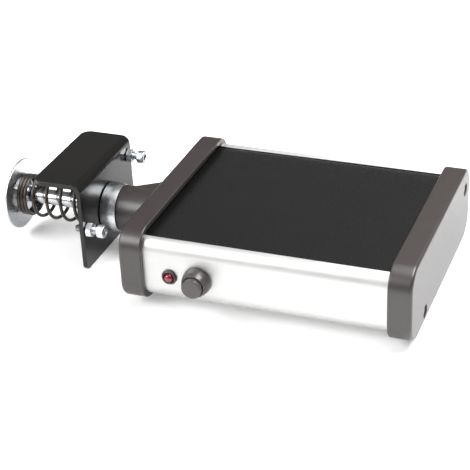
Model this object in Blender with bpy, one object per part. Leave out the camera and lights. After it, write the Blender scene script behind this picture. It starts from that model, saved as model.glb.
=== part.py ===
"""Battery drive unit with a sprung plunger and a swivelling clamp bracket.

Every physical piece is one closed object. Numbers below are millimetres from the
centre of the box: X runs along the plunger, Y away from the front panel and Z up.
The helpers scale them to metres, and everything hangs on one empty, which puts the
lowest edge of the unit on the floor and its middle over the origin.
"""
import bpy
import bmesh
from math import atan2, ceil, cos, pi, radians, sin, tan
from mathutils import Matrix, Vector

MM = 0.001
GAP = 0.3

# Box: an aluminium extrusion between two plastic bezels, with a panel let into its top.
BOX_LENGTH = 149.0
BOX_DEPTH = 122.0
BOX_HEIGHT = 40.0
BEZEL_THICK = 12.0
BEZEL_RADIUS = 11.2
BEZEL_ROUND = 1.6
BEZEL_INNER_ROUND = 0.7
BEZEL_SEAT = 3.0
BEZEL_WALL = 5.0
EXTRUSION_INSET = 2.8
WALL = 2.2
FLOOR_TOP = -15.0
CEILING = 10.3
PANEL_TOP = 14.8
PANEL_THICK = 2.0
LIP_BASE_Y = 51.6
LIP_TIP_Y = 54.2
LIP_BASE_Z = 15.4
LIP_TIP_Z = 16.6
GROOVE_Y = 54.3
SECTION_RADIUS = 8.4

# Screws that hold a bezel to the extrusion, as (y, z) in each end face.
END_SCREWS = {"near": (-33.7, -15.0), "far": (50.3, 8.9)}
END_SCREW_HEAD_RADIUS = 2.9
END_SCREW_RECESS_RADIUS = 3.4
END_SCREW_RECESS_DEPTH = 3.2
END_SCREW_RADIUS = 1.5
END_SCREW_LENGTH = 16.0

# Plunger, spring and spindle, all on one axis along X.
AXIS_Z = -1.7
BOSS_LEFT = -99.0
BOSS_RADIUS = 12.6
WING_REACH = 16.3
WING_THICK = 8.75
RING_LEFT = -107.9
RING_RADIUS = 13.3
RING_CHAMFER = 0.5
BUSH_RADIUS = 8.0
BUSH_FLANGE_RADIUS = 9.8
BUSH_FLANGE_THICK = 1.6
BUSH_RIGHT = -76.0
ROD_RADIUS = 4.2
BOSS_SCREW_RADIUS = 1.5
BOSS_SCREW_HEAD_RADIUS = 2.8
BOSS_SCREW_HEAD = 2.0
BOSS_SCREW_GRIP = 3.7
ROD_RIGHT = -41.0
CLIP_RADIUS = 6.2
CLIP_THICK = 0.8
CLIP_GROOVE = 0.7
DISC_RIGHT = -160.0
DISC_THICK = 1.2
DISC_RADIUS = 19.4
DISC_SCREW_RADIUS = 1.9
SPRING_WIRE = 1.9
SPRING_RADIUS_DISC = 10.2
SPRING_RADIUS_PLATE = 11.4
SPRING_CLOSED_TURNS = 3.0
SPRING_OPEN_TURNS = 4.6
SPRING_END_TURNS = 1.0

# Bracket: a bent steel angle, a vertical plate with a flange on top.
PLATE_RIGHT = -108.2
PLATE_THICK = 2.5
FLANGE_LEFT = -135.6
BRACKET_WIDTH = 63.0
BRACKET_TOP = 25.3
BRACKET_BOTTOM = -24.5
BEND_RADIUS = 4.5
FLANGE_CORNER = 5.5
PLATE_CORNER = 3.0

# Adjusting screws with lock nuts, as (y, z) in the plate.
ADJUSTERS = {"near": (-27.3, -1.7), "far": (27.4, 15.4)}
M4_RADIUS = 2.0
M4_HEAD_RADIUS = 3.5
M4_HEAD_LENGTH = 4.0
M4_SOCKET_FLATS = 3.0
M4_SOCKET_DEPTH = 2.0
M4_NUT_FLATS = 7.0
M4_NUT_LENGTH = 3.2
ADJUSTER_NECK = 2.8
ADJUSTER_TIP = 4.0

# Front panel: indicator lamp and push button, both along Y.
LAMP_X, LAMP_Z = -48.6, -2.6
LAMP_HOLDER_RADIUS = 4.0
LAMP_RADIUS = 2.5
LAMP_NECK_RADIUS = 3.2
BUTTON_X, BUTTON_Z = -33.8, -2.4
BUTTON_BASE_RADIUS = 7.5
BUTTON_RIM_RADIUS = 6.1
BUTTON_CAP_RADIUS = 5.2
BUTTON_RIM_REACH = 6.4
BUTTON_CAP_REACH = 8.9
BUTTON_TRAVEL = 2.0
NECK_RADIUS = 6.0
STEM_RADIUS = 2.0

# Works inside the box.
COIL_LEFT, COIL_RIGHT = -50.7, -11.3
COIL_RADIUS = 10.6
BOARD_X = (0.0, 55.0)
BOARD_Y = (-48.0, -12.0)
BOARD_Z = -9.6
BOARD_THICK = 1.6
CELL_RADIUS = 9.2
CELL_LENGTH = 65.0
CELL_Y = (23.2, 42.2)
TRAY_X = (-16.0, 60.0)
TRAY_Y = (12.6, 52.8)
TRAY_BOTTOM = -14.7

HALF_LENGTH = BOX_LENGTH / 2
INNER_X = HALF_LENGTH - BEZEL_THICK
FRONT_Y = -(BOX_DEPTH / 2 - EXTRUSION_INSET)
PLATE_LEFT = PLATE_RIGHT - PLATE_THICK
CLIP_LEFT = BEZEL_WALL - HALF_LENGTH + GAP
SCREW_HEAD_LEFT = DISC_RIGHT - DISC_THICK - GAP - 2.2
UNIT_MIDDLE_X = (HALF_LENGTH + SCREW_HEAD_LEFT) / 2
UNIT_MIDDLE_Y = (BOX_DEPTH / 2 + FRONT_Y - BUTTON_CAP_REACH) / 2

MATERIALS = {
    "anodised_aluminium": ((0.82, 0.82, 0.80), 0.38, 1.0),
    "black_panel": ((0.028, 0.028, 0.027), 0.42, 0.0),
    "grey_plastic": ((0.085, 0.076, 0.075), 0.45, 0.0),
    "black_paint": ((0.022, 0.021, 0.020), 0.28, 0.0),
    "zinc_plate": ((0.62, 0.64, 0.65), 0.30, 1.0),
    "bright_steel": ((0.70, 0.71, 0.72), 0.14, 1.0),
    "spring_steel": ((0.035, 0.030, 0.026), 0.35, 0.6),
    "bronze": ((0.55, 0.36, 0.17), 0.35, 1.0),
    "switch_plastic": ((0.060, 0.054, 0.050), 0.35, 0.0),
    "red_lens": ((0.35, 0.010, 0.020), 0.08, 0.0),
    "circuit_green": ((0.020, 0.120, 0.045), 0.45, 0.0),
    "chip_black": ((0.020, 0.020, 0.022), 0.40, 0.0),
    "capacitor_sleeve": ((0.030, 0.040, 0.110), 0.30, 0.0),
    "holder_plastic": ((0.040, 0.040, 0.042), 0.55, 0.0),
    "cell_sleeve": ((0.060, 0.160, 0.300), 0.32, 0.0),
    "copper_winding": ((0.62, 0.26, 0.11), 0.35, 1.0),
    "bobbin_nylon": ((0.72, 0.70, 0.64), 0.50, 0.0),
}


def clear_scene():
    """Remove whatever the file starts with."""
    for item in list(bpy.data.objects):
        bpy.data.objects.remove(item, do_unlink=True)


def make_material(name):
    """One Principled material from the table."""
    colour, roughness, metallic = MATERIALS[name]
    material = bpy.data.materials.new(name)
    material.use_nodes = True
    shader = material.node_tree.nodes["Principled BSDF"]
    shader.inputs["Base Color"].default_value = (*colour, 1.0)
    shader.inputs["Roughness"].default_value = roughness
    shader.inputs["Metallic"].default_value = metallic
    return material


def add_object(name, bm, material=None, location=(0, 0, 0)):
    """Turn a bmesh in millimetres into a shaded object on the unit's empty."""
    bmesh.ops.recalc_face_normals(bm, faces=bm.faces)
    bmesh.ops.transform(bm, matrix=Matrix.Scale(MM, 4), verts=bm.verts)
    mesh = bpy.data.meshes.new(name)
    bm.to_mesh(mesh)
    bm.free()
    mesh.shade_smooth()
    mesh.set_sharp_from_angle(angle=radians(32))
    item = bpy.data.objects.new(name, mesh)
    bpy.context.collection.objects.link(item)
    item.location = Vector(location) * MM
    item.parent = bpy.data.objects.get("unit_origin")
    if material:
        key = bpy.data.materials.get(material) or make_material(material)
        mesh.materials.append(key)
    return item


def boolean(target, operation, cutter):
    """Combine a target with a helper shape that stays out of the build."""
    modifier = target.modifiers.new(cutter.name, "BOOLEAN")
    modifier.operation = operation
    modifier.solver = "EXACT"
    modifier.object = cutter
    cutter.hide_render = True
    cutter.display_type = "WIRE"


def outline(corners, steps=6):
    """Closed outline through (u, v, radius) corners, each rounded by its radius."""
    points = []
    for index, (u, v, radius) in enumerate(corners):
        corner = Vector((u, v))
        if radius == 0:
            points.append(corner)
            continue
        before = (Vector(corners[index - 1][:2]) - corner).normalized()
        after = (Vector(corners[(index + 1) % len(corners)][:2]) - corner).normalized()
        half = before.angle(after) / 2
        centre = corner + (before + after).normalized() * (radius / sin(half))
        start = corner + before * (radius / tan(half)) - centre
        end = corner + after * (radius / tan(half)) - centre
        sweep = atan2(start.cross(end), start.dot(end))
        for step in range(steps + 1):
            points.append(centre + Matrix.Rotation(sweep * step / steps, 2) @ start)
    return points


def rectangle(u_range, v_range, radius=0, steps=6):
    """Outline of a rectangle with equal corner radii."""
    (u0, u1), (v0, v1) = u_range, v_range
    return outline([(u0, v0, radius), (u1, v0, radius), (u1, v1, radius), (u0, v1, radius)], steps)


def hexagon(flats):
    """Outline of a hexagon from its size across flats."""
    reach = flats / 2 / cos(pi / 6)
    return [Vector((reach * cos(pi / 3 * k), reach * sin(pi / 3 * k))) for k in range(6)]


def place(axis, along, u, v):
    """Point at a distance along an axis, with (u, v) across it in X, Y, Z order."""
    return {"X": (along, u, v), "Y": (u, along, v), "Z": (u, v, along)}[axis]


def loft(sections, axis):
    """Closed solid through (along, outline) sections with equal point counts."""
    bm = bmesh.new()
    rings = []
    for along, points in sections:
        rings.append([bm.verts.new(place(axis, along, u, v)) for u, v in points])
    for low, high in zip(rings, rings[1:]):
        for k in range(len(low)):
            bm.faces.new((low[k - 1], low[k], high[k], high[k - 1]))
    bm.faces.new(rings[0])
    bm.faces.new(rings[-1])
    return bm


def prism(points, low, high, axis):
    """Closed prism with the outline across the axis."""
    return loft([(low, points), (high, points)], axis)


def block(x_range, y_range, z_range):
    """Plain closed box."""
    return prism(rectangle(x_range, y_range), *z_range, "Z")


def turned(profile, axis="X", segments=32):
    """Turned piece from (along, radius) points: from the axis back to it, or a loop round a bore."""
    bm = bmesh.new()
    rings = []
    for along, radius in profile:
        if radius == 0:
            rings.append([bm.verts.new(place(axis, along, 0, 0))] * segments)
            continue
        angles = [2 * pi * k / segments for k in range(segments)]
        rings.append([bm.verts.new(place(axis, along, radius * cos(a), radius * sin(a))) for a in angles])
    if profile[0][1] > 0:
        rings.append(rings[0])
    for low, high in zip(rings, rings[1:]):
        for k in range(segments):
            corners = dict.fromkeys((low[k - 1], low[k], high[k], high[k - 1]))
            if len(corners) > 2:
                bm.faces.new(tuple(corners))
    return bm


def tube(left, right, outer, inner, chamfer=0.0):
    """Profile of a plain ring, with its outer edges chamfered if asked."""
    if not chamfer:
        return [(left, inner), (left, outer), (right, outer), (right, inner)]
    return [
        (left, inner),
        (left, outer - chamfer),
        (left + chamfer, outer),
        (right - chamfer, outer),
        (right, outer - chamfer),
        (right, inner),
    ]


def drill(target, name, radius, low, high, axis, centre, segments=24):
    """Cut a round hole along an axis through (x, y, z)."""
    bm = turned([(low, 0), (low, radius), (high, radius), (high, 0)], axis, segments)
    boolean(target, "DIFFERENCE", add_object(name, bm, location=centre))


def carve(target, name, bm, location=(0, 0, 0)):
    """Cut a shape away from a target."""
    boolean(target, "DIFFERENCE", add_object(name, bm, location=location))


# ---------------------------------------------------------------- box

def extrusion_corners(grow=0.0):
    """Outside section of the extrusion, larger by grow, as a (y, z) outline."""
    half_y = BOX_DEPTH / 2 - EXTRUSION_INSET + grow
    half_z = BOX_HEIGHT / 2 - EXTRUSION_INSET + grow
    return rectangle((-half_y, half_y), (-half_z, half_z), SECTION_RADIUS + grow, 8)


def housing_extrusion():
    """Hollow section with sloping lips and grooves for the panel, and two screw ports."""
    reach = INNER_X + BEZEL_SEAT - GAP
    over = reach + 5
    bm = prism(extrusion_corners(), -reach, reach, "X")
    body = add_object("housing_extrusion", bm, "anodised_aluminium")
    slope = [
        (LIP_BASE_Y, PANEL_TOP),
        (LIP_BASE_Y, LIP_BASE_Z),
        (LIP_TIP_Y, LIP_TIP_Z),
        (LIP_TIP_Y, BOX_HEIGHT / 2),
    ]
    recess = [Vector(p) for p in slope + [(-y, z) for y, z in reversed(slope)]]
    carve(body, "cut_recess", prism(recess, -over, over, "X"))
    groove = rectangle((-GROOVE_Y, GROOVE_Y), (PANEL_TOP - PANEL_THICK - GAP, PANEL_TOP + GAP))
    carve(body, "cut_groove", prism(groove, -over, over, "X"))
    side = -FRONT_Y - WALL
    port = END_SCREW_RADIUS + WALL
    (near_y, near_z), (far_y, far_z) = END_SCREWS["near"], END_SCREWS["far"]
    cavity = outline([
        (-side, FLOOR_TOP, 4),
        (near_y - port, FLOOR_TOP, 0),
        (near_y - port, near_z + port, 0),
        (near_y + port, near_z + port, 0),
        (near_y + port, FLOOR_TOP, 0),
        (side, FLOOR_TOP, 4),
        (side, far_z - port, 0),
        (far_y - port, far_z - port, 0),
        (far_y - port, CEILING, 0),
        (-side, CEILING, 2),
    ])
    carve(body, "cut_cavity", prism(cavity, -over, over, "X"))
    for name, (y, z) in END_SCREWS.items():
        radius = END_SCREW_RADIUS + GAP
        drill(body, "cut_port_" + name, radius, -over, over, "X", (0, y, z), 16)
    middle = FRONT_Y + WALL / 2
    drill(body, "cut_lamp", LAMP_NECK_RADIUS + GAP, middle - WALL, middle + WALL, "Y", (LAMP_X, 0, LAMP_Z))
    drill(body, "cut_button", NECK_RADIUS + GAP, middle - WALL, middle + WALL, "Y", (BUTTON_X, 0, BUTTON_Z))


def top_panel():
    """Flat sheet held in the two grooves."""
    half_y = GROOVE_Y - GAP
    reach = INNER_X + BEZEL_SEAT - GAP
    bm = block((-reach, reach), (-half_y, half_y), (PANEL_TOP - PANEL_THICK, PANEL_TOP))
    add_object("top_panel", bm, "black_panel")


def rounded_block_sections(inner, outer):
    """Sections of a bezel from its inner face to its outer face, with rolled edges."""
    half_y, half_z = BOX_DEPTH / 2, BOX_HEIGHT / 2
    direction = 1 if outer > inner else -1
    steps = 2
    stations = []
    for k in range(steps + 1):
        angle = pi / 2 * k / steps
        inset = BEZEL_INNER_ROUND * (1 - sin(angle))
        stations.append((inner + direction * BEZEL_INNER_ROUND * (1 - cos(angle)), inset))
    for k in range(steps + 1):
        angle = pi / 2 * k / steps
        inset = BEZEL_ROUND * (1 - cos(angle))
        stations.append((outer - direction * BEZEL_ROUND * (1 - sin(angle)), inset))
    return [
        (x, rectangle((-half_y + i, half_y - i), (-half_z + i, half_z - i), BEZEL_RADIUS - i, 8))
        for x, i in stations
    ]


def bezel(name, side):
    """Moulded end cap: side is -1 for the left one and 1 for the right one."""
    inner, outer = side * INNER_X, side * HALF_LENGTH
    body = add_object(name, loft(rounded_block_sections(inner, outer), "X"), "grey_plastic")
    seat_end = inner + side * BEZEL_SEAT
    carve(body, name + "_seat", prism(extrusion_corners(GAP), *sorted((inner - side, seat_end)), "X"))
    core = rectangle((-27, 43), (-13.5, 11), 3, 4)
    core_end = outer - side * BEZEL_WALL
    carve(body, name + "_core", prism(core, *sorted((inner - side, core_end)), "X"))
    for place_name, (y, z) in END_SCREWS.items():
        recess = outer - side * END_SCREW_RECESS_DEPTH
        low, high = sorted((recess, outer + side))
        drill(body, f"{name}_recess_{place_name}", END_SCREW_RECESS_RADIUS, low, high, "X", (0, y, z))
        low, high = sorted((inner - side, outer + side))
        drill(body, f"{name}_hole_{place_name}", END_SCREW_RADIUS + GAP, low, high, "X", (0, y, z), 16)
    return body


def end_screw(name, side, y, z):
    """Cross-head screw sunk in a bezel's recess."""
    seat = side * (HALF_LENGTH - END_SCREW_RECESS_DEPTH + GAP)
    head = seat + side * 2.0
    tip = seat - side * END_SCREW_LENGTH
    profile = [
        (tip, 0),
        (tip, END_SCREW_RADIUS - 0.4),
        (tip + side * 0.6, END_SCREW_RADIUS),
        (seat, END_SCREW_RADIUS),
        (seat, END_SCREW_HEAD_RADIUS),
        (head - side * 0.9, END_SCREW_HEAD_RADIUS),
        (head - side * 0.3, END_SCREW_HEAD_RADIUS - 0.5),
        (head, END_SCREW_HEAD_RADIUS - 1.3),
        (head, 0),
    ]
    screw = add_object(name, turned(profile, "X", 24), "zinc_plate", (0, y, z))
    low, high = sorted((head - side * 1.1, head + side))
    half = 0.35
    arm = 1.7
    quarter = [Vector((half, half)), Vector((half, arm)), Vector((-half, arm))]
    cross = [Matrix.Rotation(k * pi / 2, 2) @ p for k in range(4) for p in quarter]
    carve(screw, name + "_cross", prism(cross, low, high, "X"), (0, y, z))


# ---------------------------------------------------------------- spindle and plunger

def on_axis(name, profile, material, segments=32):
    """Turned piece on the plunger's axis."""
    return add_object(name, turned(profile, "X", segments), material, (0, 0, AXIS_Z))


def boss_screw_places():
    """The two screws from inside the left bezel, as (suffix, y, z)."""
    return [("upper", 10.5, AXIS_Z + 8.2), ("lower", -10.5, AXIS_Z - 8.2)]


def spindle_boss():
    """Round nose with two tangent wings that spread its load on the bezel."""
    right = -HALF_LENGTH - GAP
    profile = [(BOSS_LEFT, 0), (BOSS_LEFT, BOSS_RADIUS), (right, BOSS_RADIUS), (right, 0)]
    boss = on_axis("spindle_boss", profile, "grey_plastic", 36)
    start = 1.5
    for sign, suffix in ((1, "upper"), (-1, "lower")):
        plan = [
            Vector((BOSS_LEFT + 1, -start * sign)),
            Vector((right, -start * sign)),
            Vector((right, WING_REACH * sign)),
            Vector((BOSS_LEFT + 1, start * sign * 0.2)),
        ]
        top = (BOSS_RADIUS - 0.15) * sign
        low, high = sorted((top, top - WING_THICK * sign))
        wing = add_object("wing_" + suffix, prism(plan, low, high, "Z"), location=(0, 0, AXIS_Z))
        boolean(boss, "UNION", wing)
    drill(boss, "cut_boss_bore", BUSH_RADIUS + GAP, BOSS_LEFT - 1, right + 1, "X", (0, 0, AXIS_Z), 32)
    for suffix, y, z in boss_screw_places():
        drill(boss, "cut_boss_screw_" + suffix, 1.5 + GAP, right - 4.2, right + 1, "X", (0, y, z), 16)


def boss_screws(left_bezel):
    """Pan-head screws through the left bezel into the boss, and the rod's hole between them."""
    wall = (-HALF_LENGTH - 1, -INNER_X - 1)
    drill(left_bezel, "cut_rod", ROD_RADIUS + 2 * GAP, *wall, "X", (0, 0, AXIS_Z))
    seat = -HALF_LENGTH + BEZEL_WALL + GAP
    tip = -HALF_LENGTH - GAP - BOSS_SCREW_GRIP
    profile = [
        (tip, 0),
        (tip, BOSS_SCREW_RADIUS),
        (seat, BOSS_SCREW_RADIUS),
        (seat, BOSS_SCREW_HEAD_RADIUS),
        (seat + BOSS_SCREW_HEAD - 0.6, BOSS_SCREW_HEAD_RADIUS),
        (seat + BOSS_SCREW_HEAD, BOSS_SCREW_HEAD_RADIUS - 1),
        (seat + BOSS_SCREW_HEAD, 0),
    ]
    for suffix, y, z in boss_screw_places():
        drill(left_bezel, "cut_screw_" + suffix, BOSS_SCREW_RADIUS + GAP, *wall, "X", (0, y, z), 16)
        add_object("boss_screw_" + suffix, turned(profile, "X", 16), "zinc_plate", (0, y, z))


def lock_ring():
    """Plated ring nut that clamps the bracket against the bush's flange."""
    on_axis("lock_ring", tube(RING_LEFT, BOSS_LEFT - GAP, RING_RADIUS, BUSH_RADIUS + GAP, RING_CHAMFER),
            "zinc_plate", 36)


def guide_bush():
    """Flanged bush through plate, ring and boss, which guides the rod."""
    flange_right = PLATE_LEFT - GAP
    bore = ROD_RADIUS + GAP
    profile = [
        (flange_right - BUSH_FLANGE_THICK, bore),
        (flange_right - BUSH_FLANGE_THICK, BUSH_FLANGE_RADIUS),
        (flange_right, BUSH_FLANGE_RADIUS),
        (flange_right, BUSH_RADIUS),
        (BUSH_RIGHT, BUSH_RADIUS),
        (BUSH_RIGHT, bore),
    ]
    on_axis("guide_bush", profile, "bronze", 24)


def plunger_rod():
    """Steel rod with a tapped hole in its left end and a groove for its clip."""
    left = DISC_RIGHT + GAP
    hole = DISC_SCREW_RADIUS + GAP
    depth = 9.0
    groove = CLIP_LEFT - GAP
    groove_end = CLIP_LEFT + CLIP_THICK + GAP
    profile = [
        (left + depth, 0),
        (left + depth, hole),
        (left, hole),
        (left, ROD_RADIUS),
        (groove, ROD_RADIUS),
        (groove, ROD_RADIUS - CLIP_GROOVE),
        (groove_end, ROD_RADIUS - CLIP_GROOVE),
        (groove_end, ROD_RADIUS),
        (ROD_RIGHT - 0.8, ROD_RADIUS),
        (ROD_RIGHT, ROD_RADIUS - 0.8),
        (ROD_RIGHT, 0),
    ]
    on_axis("plunger_rod", profile, "bright_steel", 24)


def rod_clip():
    """Ring on the rod that stops it against the inside of the left bezel."""
    profile = tube(CLIP_LEFT, CLIP_LEFT + CLIP_THICK, CLIP_RADIUS, ROD_RADIUS - CLIP_GROOVE + GAP)
    on_axis("rod_clip", profile, "spring_steel", 20)


def plunger_disc():
    """Thin plated disc at the outer end of the rod."""
    left = DISC_RIGHT - DISC_THICK
    profile = tube(left, DISC_RIGHT, DISC_RADIUS, DISC_SCREW_RADIUS + GAP, 0.25)
    on_axis("plunger_disc", profile, "zinc_plate", 48)


def disc_screw():
    """Low-head screw that holds the disc on the rod."""
    seat = DISC_RIGHT - DISC_THICK - GAP
    tip = DISC_RIGHT + 8.0
    profile = [
        (SCREW_HEAD_LEFT, 0),
        (SCREW_HEAD_LEFT, 2.6),
        (SCREW_HEAD_LEFT + 0.9, 3.8),
        (seat, 3.8),
        (seat, DISC_SCREW_RADIUS),
        (tip, DISC_SCREW_RADIUS),
        (tip, 0),
    ]
    screw = on_axis("disc_screw", profile, "zinc_plate", 24)
    socket = prism(hexagon(2.5), SCREW_HEAD_LEFT - 1, SCREW_HEAD_LEFT + 1.3, "X")
    carve(screw, "cut_disc_socket", socket, (0, 0, AXIS_Z))


def coil_mesh(stations, wire, sides):
    """Round wire swept through (along, radius, turn angle) stations of a coil about X."""
    bm = bmesh.new()
    centres = [Vector((x, r * cos(a), r * sin(a))) for x, r, a in stations]
    rings = []
    for k, centre in enumerate(centres):
        ahead = centres[min(k + 1, len(centres) - 1)]
        behind = centres[max(k - 1, 0)]
        tangent = (ahead - behind).normalized()
        outward = Vector((0, centre.y, centre.z)).normalized()
        across = tangent.cross(outward).normalized()
        outward = across.cross(tangent)
        ring = []
        for j in range(sides):
            angle = 2 * pi * j / sides
            ring.append(bm.verts.new(centre + wire / 2 * (outward * cos(angle) + across * sin(angle))))
        rings.append(ring)
    for low, high in zip(rings, rings[1:]):
        for j in range(sides):
            bm.faces.new((low[j - 1], low[j], high[j], high[j - 1]))
    bm.faces.new(rings[0])
    bm.faces.new(rings[-1])
    return bm


def return_spring():
    """Compression spring between disc and plate, with its coils closed at the disc."""
    left = DISC_RIGHT + GAP + SPRING_WIRE / 2
    right = PLATE_LEFT - GAP - SPRING_WIRE / 2
    closed_pitch = SPRING_WIRE + 0.15
    closed = closed_pitch * SPRING_CLOSED_TURNS
    end = closed_pitch * SPRING_END_TURNS
    open_length = right - left - closed - end
    turns = SPRING_CLOSED_TURNS + SPRING_OPEN_TURNS + SPRING_END_TURNS
    count = ceil(turns * 12)
    stations = []
    for k in range(count + 1):
        turn = turns * k / count
        opened = min(max(turn - SPRING_CLOSED_TURNS, 0), SPRING_OPEN_TURNS)
        x = left + closed_pitch * (turn - opened) + open_length * opened / SPRING_OPEN_TURNS
        radius = SPRING_RADIUS_DISC + (SPRING_RADIUS_PLATE - SPRING_RADIUS_DISC) * turn / turns
        stations.append((x, radius, 2 * pi * turn))
    add_object("return_spring", coil_mesh(stations, SPRING_WIRE, 6), "spring_steel", (0, 0, AXIS_Z))


# ---------------------------------------------------------------- bracket

def mounting_bracket():
    """Bent angle with rounded corners, a clearance hole for the bush and two tapped holes."""
    inner_bend = BEND_RADIUS - PLATE_THICK
    section = outline([
        (FLANGE_LEFT, BRACKET_TOP - PLATE_THICK, 0),
        (PLATE_LEFT, BRACKET_TOP - PLATE_THICK, inner_bend),
        (PLATE_LEFT, BRACKET_BOTTOM, 0),
        (PLATE_RIGHT, BRACKET_BOTTOM, 0),
        (PLATE_RIGHT, BRACKET_TOP, BEND_RADIUS),
        (FLANGE_LEFT, BRACKET_TOP, 0),
    ])
    half = BRACKET_WIDTH / 2
    centre = Vector((0, 0, AXIS_Z))
    bm = prism([p - Vector((0, AXIS_Z)) for p in section], -half, half, "Y")
    bracket = add_object("mounting_bracket", bm, "black_paint", centre)
    right = PLATE_RIGHT + 5
    plan = outline([(FLANGE_LEFT, -half, FLANGE_CORNER), (right, -half, 0), (right, half, 0),
                    (FLANGE_LEFT, half, FLANGE_CORNER)])
    trim = add_object("trim_flange", prism(plan, -BOX_HEIGHT, BOX_HEIGHT, "Z"))
    boolean(bracket, "INTERSECT", trim)
    face = outline([(-half, BRACKET_BOTTOM, PLATE_CORNER), (half, BRACKET_BOTTOM, PLATE_CORNER),
                    (half, BOX_HEIGHT, 0), (-half, BOX_HEIGHT, 0)])
    trim = add_object("trim_plate", prism(face, FLANGE_LEFT - 5, right, "X"))
    boolean(bracket, "INTERSECT", trim)
    drill(bracket, "cut_bracket_bore", BUSH_RADIUS + GAP, PLATE_LEFT - 1, PLATE_RIGHT + 1, "X", centre, 32)
    for name, (y, z) in ADJUSTERS.items():
        hole = (PLATE_LEFT - 1, PLATE_RIGHT + 1)
        drill(bracket, "cut_adjuster_" + name, M4_RADIUS + GAP, *hole, "X", (0, y, z), 16)


def hex_nut(name, flats, bore, low, high, axis, location, material):
    """Hexagon nut with its corners turned down on both faces."""
    nut = add_object(name, prism(hexagon(flats), low, high, axis), material, location)
    crown = flats / 2 / cos(pi / 6)
    slope = 0.12 * flats / 2
    barrel = [
        (low - 0.1, 0),
        (low - 0.1, flats / 2 * 0.96),
        (low + slope, crown + 0.1),
        (high - slope, crown + 0.1),
        (high + 0.1, flats / 2 * 0.96),
        (high + 0.1, 0),
    ]
    boolean(nut, "INTERSECT", add_object(name + "_crown", turned(barrel, axis, 24), location=location))
    drill(nut, name + "_bore", bore, low - 1, high + 1, axis, location, 16)


def adjuster(name, y, z):
    """Socket-head screw through a lock nut and the plate."""
    nut_left = PLATE_RIGHT + GAP
    nut_right = nut_left + M4_NUT_LENGTH
    bore = M4_RADIUS + GAP
    hex_nut("lock_nut_" + name, M4_NUT_FLATS, bore, nut_left, nut_right, "X", (0, y, z), "zinc_plate")
    neck = nut_right + ADJUSTER_NECK
    head = neck + M4_HEAD_LENGTH
    tip = PLATE_LEFT - ADJUSTER_TIP
    profile = [
        (tip, 0),
        (tip, M4_RADIUS - 0.6),
        (tip + 0.7, M4_RADIUS),
        (neck, M4_RADIUS),
        (neck, M4_HEAD_RADIUS),
        (head - 0.5, M4_HEAD_RADIUS),
        (head, M4_HEAD_RADIUS - 0.5),
        (head, 0),
    ]
    screw = add_object("adjusting_screw_" + name, turned(profile, "X", 24), "zinc_plate", (0, y, z))
    socket = prism(hexagon(M4_SOCKET_FLATS), head - M4_SOCKET_DEPTH, head + 1, "X")
    carve(screw, "cut_socket_" + name, socket, (0, y, z))


# ---------------------------------------------------------------- front panel

def lamp():
    """Red indicator in a round holder through the front wall."""
    centre = (LAMP_X, 0, LAMP_Z)
    front = FRONT_Y - GAP
    bore = LAMP_RADIUS + GAP
    holder = [
        (front - 1.0, bore),
        (front - 1.4, bore + 0.4),
        (front - 1.2, LAMP_HOLDER_RADIUS - 0.5),
        (front - 0.6, LAMP_HOLDER_RADIUS),
        (front, LAMP_HOLDER_RADIUS),
        (front, LAMP_NECK_RADIUS),
        (front + 6.5, LAMP_NECK_RADIUS),
        (front + 6.5, bore),
    ]
    add_object("lamp_holder", turned(holder, "Y", 24), "switch_plastic", centre)
    dome_base = front - 0.2
    angles = [pi / 2 * k / 5 for k in range(5)]
    dome = [(dome_base - LAMP_RADIUS * sin(a), LAMP_RADIUS * cos(a)) for a in angles]
    profile = [(dome_base - LAMP_RADIUS, 0), *reversed(dome)]
    profile += [(front + 8, LAMP_RADIUS), (front + 8, 0)]
    add_object("lamp_lens", turned(profile, "Y", 24), "red_lens", centre)


def push_button():
    """Domed bushing, nut, switch block, cap with its stem, and the spring under the cap."""
    centre = (BUTTON_X, 0, BUTTON_Z)
    front = FRONT_Y - GAP
    rim = FRONT_Y - BUTTON_RIM_REACH
    bore = BUTTON_CAP_RADIUS + GAP
    guide = STEM_RADIUS + GAP
    bore_end = front + 1.2
    neck_end = front + 10.0
    bushing = [
        (rim, bore),
        (rim, BUTTON_RIM_RADIUS - 0.3),
        (rim + 0.5, BUTTON_RIM_RADIUS),
        (rim + 2.2, BUTTON_RIM_RADIUS + 0.7),
        (rim + 4.4, BUTTON_BASE_RADIUS - 0.15),
        (front - 0.3, BUTTON_BASE_RADIUS),
        (front, BUTTON_BASE_RADIUS),
        (front, NECK_RADIUS),
        (neck_end, NECK_RADIUS),
        (neck_end, guide),
        (bore_end, guide),
        (bore_end, bore),
    ]
    add_object("switch_bushing", turned(bushing, "Y", 24), "switch_plastic", centre)
    nut_low = FRONT_Y + WALL + GAP
    hex_nut("switch_nut", 16.0, NECK_RADIUS + GAP, nut_low, nut_low + 3.0, "Y", centre, "zinc_plate")
    cap_front = FRONT_Y - BUTTON_CAP_REACH
    cap_back = cap_front + 4.6
    stem_end = neck_end + 3.0
    cap = [
        (cap_front, 0),
        (cap_front, BUTTON_CAP_RADIUS - 0.7),
        (cap_front + 0.7, BUTTON_CAP_RADIUS),
        (cap_back, BUTTON_CAP_RADIUS),
        (cap_back, STEM_RADIUS),
        (stem_end, STEM_RADIUS),
        (stem_end, 0),
    ]
    add_object("button_cap", turned(cap, "Y", 24), "switch_plastic", centre)
    body_low = neck_end + GAP
    body = prism(rectangle((-7, 7), (-7, 7), 1, 2), body_low, body_low + 15, "Y")
    switch = add_object("switch_block", body, "chip_black", centre)
    travel_end = stem_end + BUTTON_TRAVEL + 1
    drill(switch, "cut_switch", guide, body_low - 1, travel_end, "Y", centre, 16)
    button_spring(centre, cap_back + GAP, bore_end - GAP)


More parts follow.
